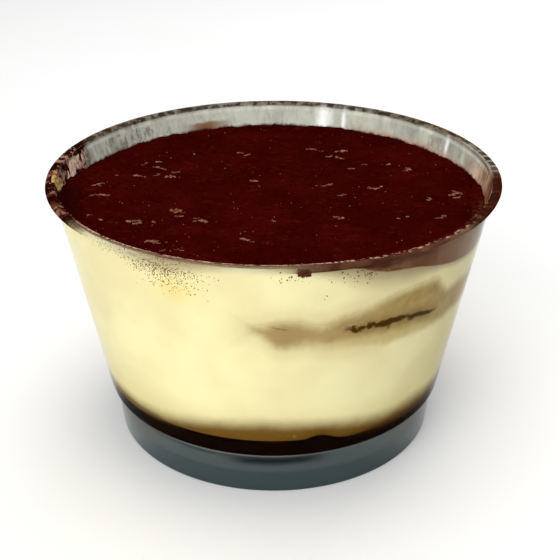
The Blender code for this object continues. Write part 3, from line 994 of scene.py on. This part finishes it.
# Clusters of pale flecks on the cocoa: centre, spread in each direction and number
FLECK_CLUSTERS = (
    (-26, 19, 5, 2, 5), (-19, 26, 1, 1, 1), (-6, 24, 2, 1, 2), (-30, 11, 5, 2, 4),
    (-23, 12, 3, 3, 4), (-38, 4, 2, 3, 5), (-5, 8, 2, 1, 2), (-3, 4, 1, 1, 1),
    (-21, -9, 3, 2, 6), (-16, -13, 3, 1, 3), (-27, -14, 4, 1, 5), (-36, -11, 2, 2, 2),
    (-23, -24, 2, 1, 3), (-18, -28, 3, 1, 3), (-6, -23, 1, 1, 1), (0, -14, 1, 1, 1),
    (7, 26, 3, 1, 2), (15, 22, 3, 3, 3), (20, 17, 4, 2, 3), (29, 14, 2, 1, 3),
    (14, 0, 1, 1, 2), (21, 2, 2, 1, 2), (10, 4, 1, 1, 1), (32, -2, 2, 1, 2),
    (38, 0, 1, 3, 5), (35, -12, 2, 2, 3), (27, -13, 3, 1, 2), (12, -13, 2, 1, 2),
)


def build_flecks():
    """Pale flecks on the cocoa, each a thin crooked row of crumbs."""
    rng = random.Random(SEED)
    places = []
    for x, y, spread_x, spread_y, number in FLECK_CLUSTERS:
        for _ in range(number):
            cx, cy = rng.gauss(x, spread_x / 1.6), rng.gauss(y, spread_y / 1.6)
            heading = rng.gauss(0.0, 0.35)
            size = rng.uniform(0.35, 0.85)
            for _ in range(rng.randint(2, 6)):
                place_on_cocoa(places, cx, cy, size * rng.uniform(0.6, 1.3), 0.45)
                cx += 0.65 * size * math.cos(heading)
                cy += 0.65 * size * math.sin(heading) + rng.gauss(0.0, 0.4 * size)
    for _ in range(160):
        reach, angle = 42.0 * math.sqrt(rng.random()), rng.uniform(0.0, math.tau)
        size = rng.uniform(0.15, 0.32)
        place_on_cocoa(places, reach * math.cos(angle), reach * math.sin(angle), size, 0.6)
    add_grains("pale_flecks", places, fleck_crumb())


def place_on_cocoa(places, x, y, size, flatness):
    """Adds a grain that lies on the topping, unless it would touch the wall."""
    reach = math.hypot(x, y)
    edge = wall_inside(CREAM_LEVEL)
    if reach > edge - 1.0:
        return
    azimuth = math.degrees(math.atan2(x, -y))
    distance = edge - reach
    z = float(cocoa_topside(azimuth, distance)) + cocoa_relief(x, y, distance) + 0.15 * size
    places.append(((x, y, z), size, (0.0, 0.0, 1.0), flatness))


def build_cocoa_grains():
    """Coarser grains of cocoa all over the topping."""
    rng = random.Random(SEED + 1)
    places = []
    for _ in range(3500):
        reach, angle = 45.0 * math.sqrt(rng.random()), rng.uniform(0.0, math.tau)
        size = rng.uniform(0.2, 0.5)
        place_on_cocoa(places, reach * math.cos(angle), reach * math.sin(angle), size, 0.8)
    add_grains("cocoa_grains", places, cocoa_powder("cocoa_grain"))


# Dark specks between the cream and the wall: azimuth, height, spreads in each, number and largest size
SPECK_PATCHES = (
    (-27.0, 53.9, 5.0, 1.0, 620, 0.24), (-25.0, 51.6, 4.5, 1.5, 150, 0.28), (4.0, 54.2, 2.2, 0.6, 22, 0.4),
    (22.0, 53.6, 4.5, 1.1, 80, 0.44), (6.0, 15.4, 0.5, 0.2, 16, 0.25), (12.0, 49.6, 0.3, 0.3, 3, 0.3),
    (-42.0, 55.2, 8.0, 0.6, 170, 0.22),
)


def build_wall_specks():
    """Dry specks of cocoa and coffee pressed between the food and the wall."""
    rng = random.Random(SEED + 2)
    places = []
    for azimuth, height, wide, tall, number, largest in SPECK_PATCHES:
        for _ in range(number):
            a, z = rng.gauss(azimuth, wide), rng.gauss(height, tall)
            z = min(z, LIP_BOTTOM)
            radius = wall_inside(z) + BITE + 0.03
            angle = math.radians(a)
            out = (math.sin(angle), -math.cos(angle), 0.0)
            centre = (radius * out[0], radius * out[1], z)
            places.append((centre, rng.uniform(0.07, largest), out, 0.25))
    add_grains("wall_specks", places, dry_specks())


def build_lip_crumbs():
    """Crumbs caught on the lip's inner edge, from the left end round the front to the right."""
    rng = random.Random(SEED + 3)
    edge_r, edge_z = max((slim_lip(r, z) for r, z in OUTLINE if r < LIP_INNER + 0.2), key=lambda p: p[1])
    places = []
    azimuth = -112.0
    while azimuth < 76.0:
        azimuth += rng.choice((0.25, 0.25, 0.3, 0.4, 1.6))
        outward = 0.75 * float(smoothstep(azimuth, 6.0, 26.0)) + rng.gauss(0.0, 0.12)
        size = rng.uniform(0.14, 0.42)
        radius = edge_r + outward
        angle = math.radians(azimuth)
        centre = (radius * math.sin(angle), -radius * math.cos(angle), edge_z)
        places.append((centre, size, (0.0, 0.0, 1.0), 0.5))
    add_grains("lip_crumbs", places, fleck_crumb())


# ---------------------------------------------------------------- stage


def build_stage():
    bpy.ops.mesh.primitive_plane_add(size=3.0, location=(0.0, 0.0, 0.0))
    floor = bpy.context.object
    floor.name = "floor"
    f = Finish("pale_floor", Roughness=0.9, Specular_IOR_Level=0.0)
    f.set("Base Color", f.mix(f.noise(60.0, 2.0), FLOOR, FLOOR_PALE))
    floor.data.materials.append(f.material)

    world = bpy.data.worlds.new("soft_dome")
    bpy.context.scene.world = world
    world.use_nodes = True
    background = world.node_tree.nodes["Background"]
    background.inputs["Color"].default_value = (1.0, 1.0, 1.0, 1.0)
    background.inputs["Strength"].default_value = 0.52

    add_light("key", (-214.0, -480.0, 410.0), 400.0, 2.0)
    add_light("back", (200.0, 400.0, 420.0), 400.0, 0.8)
    add_light("overhead", (0.0, 0.0, 800.0), 700.0, 2.5)


def add_light(name, place, size, power):
    data = bpy.data.lights.new(name, "AREA")
    data.size = size * MM
    data.energy = power
    light = bpy.data.objects.new(name, data)
    light.location = Vector(place) * MM
    aim = Vector((0.0, 0.0, AIM_HEIGHT * MM)) - light.location
    light.rotation_euler = aim.to_track_quat("-Z", "Y").to_euler()
    bpy.context.collection.objects.link(light)


def build_camera():
    data = bpy.data.cameras.new("camera")
    data.lens = LENS
    data.sensor_width = SENSOR
    data.shift_x = SHIFT_X
    data.shift_y = SHIFT_Y
    data.clip_start = 0.01
    camera = bpy.data.objects.new("camera", data)
    elevation = math.radians(CAMERA_ELEVATION)
    camera.location = (
        0.0,
        -CAMERA_DISTANCE * MM * math.cos(elevation),
        AIM_HEIGHT * MM + CAMERA_DISTANCE * MM * math.sin(elevation),
    )
    camera.rotation_euler = (math.radians(90.0) - elevation, 0.0, 0.0)
    camera.rotation_euler.rotate_axis("Z", math.radians(CAMERA_ROLL))
    bpy.context.collection.objects.link(camera)
    bpy.context.scene.camera = camera


build_cup()
build_food()
build_finger()
build_cocoa()
build_film()
build_flecks()
build_cocoa_grains()
build_wall_specks()
build_lip_crumbs()
build_stage()
build_camera()
bpy.context.scene.view_settings.view_transform = "Standard"
